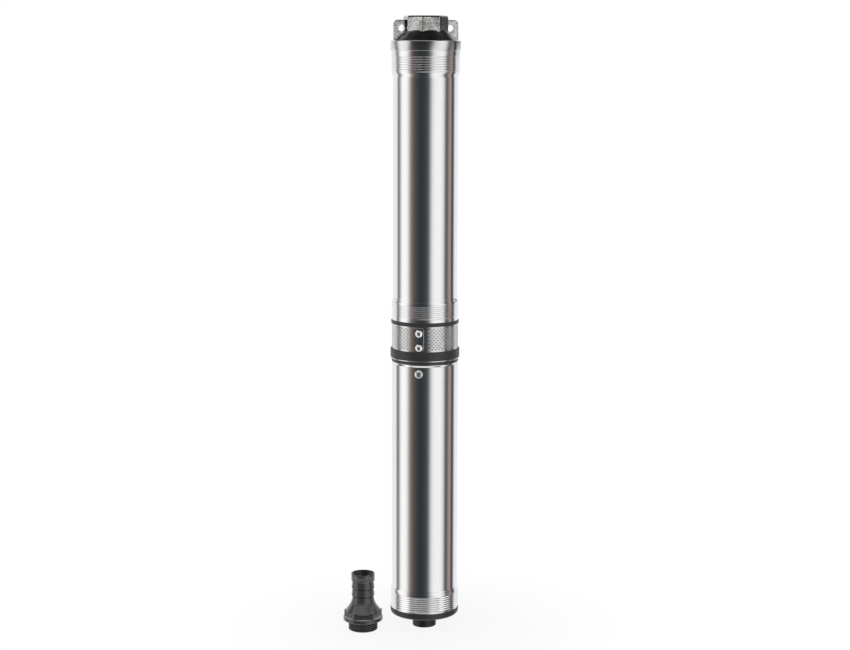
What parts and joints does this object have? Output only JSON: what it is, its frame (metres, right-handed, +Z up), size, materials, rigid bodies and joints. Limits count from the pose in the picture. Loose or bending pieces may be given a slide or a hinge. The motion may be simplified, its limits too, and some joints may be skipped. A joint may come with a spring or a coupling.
{
  "type": "borehole submersible pump",
  "caption": "Slim upright multistage well pump on an oil-filled motor, with octagonal threaded outlet, rope eyes, strainer band and loose hose adapter.",
  "frame": {"origin": "centre of the underside of the bottom cap's round foot, on the pump's axis, where the pump stands on the floor", "axes": "+Z up along the pump's axis to the outlet, -Y is the front with the strainer's screws, +X is to the right seen from the front"},
  "size_m": [0.1657, 0.0985, 0.8734],
  "materials": {
    "stainless_steel": "satin, drawn along the tube",
    "cast_steel": "shot-blasted casting with turned cone and flange",
    "black_plastic": "moulded black, satin",
    "adapter_plastic": "moulded black, satin",
    "plated_steel": "bright plated",
    "shaft_steel": "ground",
    "bearing_steel": "ground and polished",
    "laminated_steel": "laminated",
    "enamelled_copper": "enamelled winding",
    "aluminium": "cast",
    "grey_iron": "machined casting",
    "rubber": "matt",
    "bowl_plastic": "moulded",
    "impeller_plastic": "moulded",
    "ceramic_face": "lapped",
    "brass": "machined"
  },
  "bodies": {
    "pump_body": {"bottom_cap": "black_plastic", "diaphragm": "rubber", "motor_housing": "stainless_steel", "lower_bearing_housing": "grey_iron", "lower_bearing_outer": "bearing_steel", "stator_core": "laminated_steel", "end_windings": "enamelled_copper", "motor_end_bell": "grey_iron", "upper_bearing_outer": "bearing_steel", "bell_seal": "rubber", "seal_seat": "ceramic_face", "motor_screw": "plated_steel", "motor_screw_washer": "plated_steel", "motor_studs": "plated_steel", "stud_nuts": "plated_steel", "lead_gland": "brass", "suction_bracket": "black_plastic", "bracket_seal": "rubber", "strainer": "stainless_steel", "strainer_screws": "plated_steel", "stage_bowl_1": "bowl_plastic", "stage_bowl_2": "bowl_plastic", "stage_bowl_3": "bowl_plastic", "stage_bowl_4": "bowl_plastic", "stage_bowl_5": "bowl_plastic", "stage_bowl_6": "bowl_plastic", "stage_bowl_7": "bowl_plastic", "stage_bowl_8": "bowl_plastic", "top_bearing_housing": "bowl_plastic", "top_bearing_bush": "rubber", "pump_shell": "stainless_steel", "head_seal": "rubber", "discharge_head": "cast_steel", "valve_seat": "brass", "valve_guide": "brass", "valve_spring": "plated_steel"},
    "rotor": {"motor_shaft": "shaft_steel", "rotor_core": "laminated_steel", "rotor_end_rings": "aluminium", "lower_bearing_inner": "bearing_steel", "upper_bearing_inner": "bearing_steel", "seal_face": "ceramic_face", "sand_slinger": "rubber", "coupling": "shaft_steel", "coupling_pins": "plated_steel", "pump_shaft": "shaft_steel", "lower_sleeve": "shaft_steel", "top_sleeve": "shaft_steel", "shaft_nut": "plated_steel", "impeller_1": "impeller_plastic", "impeller_2": "impeller_plastic", "impeller_3": "impeller_plastic", "impeller_4": "impeller_plastic", "impeller_5": "impeller_plastic", "impeller_6": "impeller_plastic", "impeller_7": "impeller_plastic", "impeller_8": "impeller_plastic"},
    "check_valve": {"valve_poppet": "brass", "valve_seal": "rubber"},
    "adapter": {"hose_adapter": "adapter_plastic"}
  },
  "joints": [
    {"name": "rotor_spin", "type": "hinge", "parent": "pump_body", "child": "rotor", "pos_m": [0, 0, 0.21], "axis": [0, 0, 1], "continuous": true},
    {"name": "valve_lift", "type": "slide", "parent": "pump_body", "child": "check_valve", "axis": [0, 0, 1], "range_m": [0, 0.008], "stiffness_N_per_m": 120, "springref_m": -0.012, "deforming": ["valve_spring"]},
    {"name": "adapter_lift", "type": "slide", "parent": "pump_body", "child": "adapter", "axis": [0, 0, 1], "range_m": [0, 0.1]}
  ]
}
